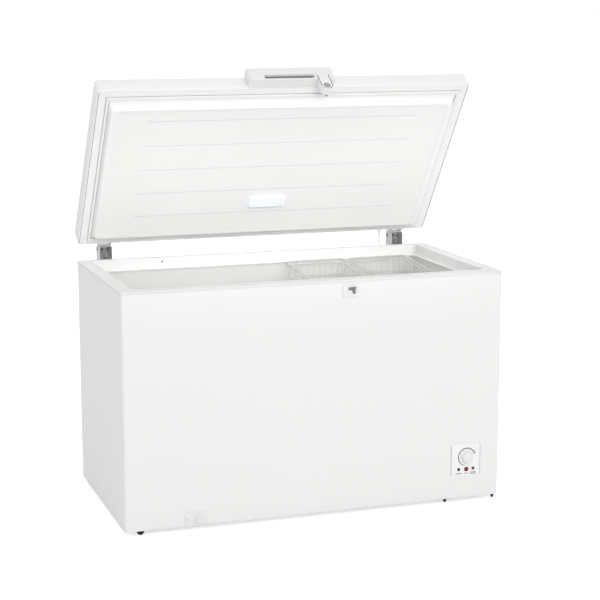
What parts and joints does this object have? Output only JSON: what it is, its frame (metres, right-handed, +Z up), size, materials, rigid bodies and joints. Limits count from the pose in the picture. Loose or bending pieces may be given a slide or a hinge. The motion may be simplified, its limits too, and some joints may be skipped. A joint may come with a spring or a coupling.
{
  "type": "chest freezer",
  "caption": "White chest freezer with its lid open on sprung hinges: handle and lock, hanging wire baskets, drain, dial panel and compressor bay.",
  "frame": {"origin": "on the floor under the middle of the whole object's footprint at rest, hinges and dial included; the cabinet's own middle lies 26 mm in front of it", "axes": "+Z up, +X to the right of someone who faces the freezer, +Y from its front to its rear"},
  "size_m": [1.3, 0.751, 1.4518],
  "materials": {
    "white_enamel": "satin",
    "galvanised_sheet": "satin",
    "embossed_aluminium": "satin",
    "polyurethane_foam": "matte",
    "white_plastic": "satin",
    "white_lining": "satin",
    "gasket_vinyl": "matte",
    "lamp_lens": "gloss",
    "green_lens": "gloss",
    "red_lens": "gloss",
    "olive_lens": "gloss",
    "black_plastic": "matte",
    "black_rubber": "matte",
    "dark_steel": "satin",
    "black_enamel": "satin",
    "copper_tube": "satin",
    "coated_wire": "satin",
    "galvanised_hinge": "satin",
    "spring_steel": "satin"
  },
  "bodies": {
    "cabinet": {"outer_wrapper": "white_enamel", "back_panel": "galvanised_sheet", "base_panel": "galvanised_sheet", "compressor_tray": "galvanised_sheet", "inner_liner": "embossed_aluminium", "insulation_foam": "polyurethane_foam", "bay_partition": "galvanised_sheet", "top_frame": "white_plastic", "drain_tube": "white_plastic", "drain_outlet_plate": "white_plastic", "control_panel": "white_plastic", "power_lens": "green_lens", "alarm_lens": "red_lens", "fast_freeze_lens": "olive_lens", "thermostat_body": "black_plastic", "strike_plate": "white_plastic", "strike_hook": "dark_steel", "compressor_grommet_1": "black_rubber", "compressor_grommet_2": "black_rubber", "compressor_grommet_3": "black_rubber", "compressor_grommet_4": "black_rubber", "compressor": "black_enamel", "compressor_relay_cover": "black_plastic", "filter_drier": "copper_tube", "condenser_coil": "copper_tube", "evaporator_coil": "copper_tube", "side_grille": "white_plastic", "rear_grille": "white_plastic", "mains_gland": "black_rubber", "foot_front_left": "black_plastic", "foot_front_middle": "black_plastic", "foot_front_right": "black_plastic", "foot_rear_left": "black_plastic", "foot_rear_middle": "black_plastic", "foot_rear_right": "black_plastic", "hinge_bracket_left": "galvanised_hinge", "hinge_pin_left": "dark_steel", "hinge_spring_left": "spring_steel", "hinge_bracket_right": "galvanised_hinge", "hinge_pin_right": "dark_steel", "hinge_spring_right": "spring_steel", "lamp_lead": "white_plastic"},
    "lid": {"lid_skin": "white_enamel", "lid_foam": "polyurethane_foam", "lid_pan": "white_lining", "lid_gasket": "gasket_vinyl", "lamp_housing": "white_plastic", "lamp_lens": "lamp_lens", "lid_handle": "white_plastic", "lock_housing": "white_plastic", "hinge_leaf_left": "galvanised_hinge", "hinge_leaf_right": "galvanised_hinge"},
    "lock_barrel": {"lock_barrel": "dark_steel"},
    "thermostat_knob": {"thermostat_knob": "white_plastic"},
    "basket_left": {"basket_left": "coated_wire"},
    "basket_right": {"basket_right": "coated_wire"},
    "drain_plug": {"drain_plug": "white_plastic"},
    "drain_cap": {"drain_cap": "white_plastic"},
    "plunger_left": {"hinge_plunger_left": "black_plastic"},
    "plunger_right": {"hinge_plunger_right": "black_plastic"}
  },
  "joints": [
    {"name": "lid_hinge", "type": "hinge", "parent": "cabinet", "child": "lid", "pos_m": [0, 0.36, 0.815], "axis": [-1, 0, 0], "range_deg": [-54.5, 20.5], "deforming": ["lamp_lead"]},
    {"name": "lock_turn", "type": "hinge", "parent": "lid", "child": "lock_barrel", "pos_m": [0.108, -0.13187, 1.39953], "axis": [0, -0.5807, 0.8141], "range_deg": [0, 90]},
    {"name": "knob_turn", "type": "hinge", "parent": "cabinet", "child": "thermostat_knob", "pos_m": [0.529, -0.3625, 0.157], "axis": [0, 1, 0], "range_deg": [-106, 107]},
    {"name": "basket_left_slide", "type": "slide", "parent": "cabinet", "child": "basket_left", "axis": [1, 0, 0], "range_m": [-0.685, 0.01]},
    {"name": "basket_right_slide", "type": "slide", "parent": "cabinet", "child": "basket_right", "axis": [1, 0, 0], "range_m": [-0.01, 0.034]},
    {"name": "drain_plug_lift", "type": "slide", "parent": "cabinet", "child": "drain_plug", "axis": [0, 0, 1], "range_m": [0, 0.06]},
    {"name": "drain_cap_pull", "type": "slide", "parent": "cabinet", "child": "drain_cap", "axis": [0, -1, 0], "range_m": [0, 0.025]},
    {"name": "plunger_left_slide", "type": "slide", "parent": "cabinet", "child": "plunger_left", "axis": [0, 0, 1], "range_m": [-0.0213, 0.0081], "deforming": ["hinge_spring_left"]},
    {"name": "plunger_right_slide", "type": "slide", "parent": "cabinet", "child": "plunger_right", "axis": [0, 0, 1], "range_m": [-0.0213, 0.0081], "deforming": ["hinge_spring_right"]}
  ],
  "couplings": [
    {"joint": "plunger_left_slide", "follows": "lid_hinge", "m_per_rad": 0.02224},
    {"joint": "plunger_right_slide", "follows": "lid_hinge", "m_per_rad": 0.02224}
  ]
}
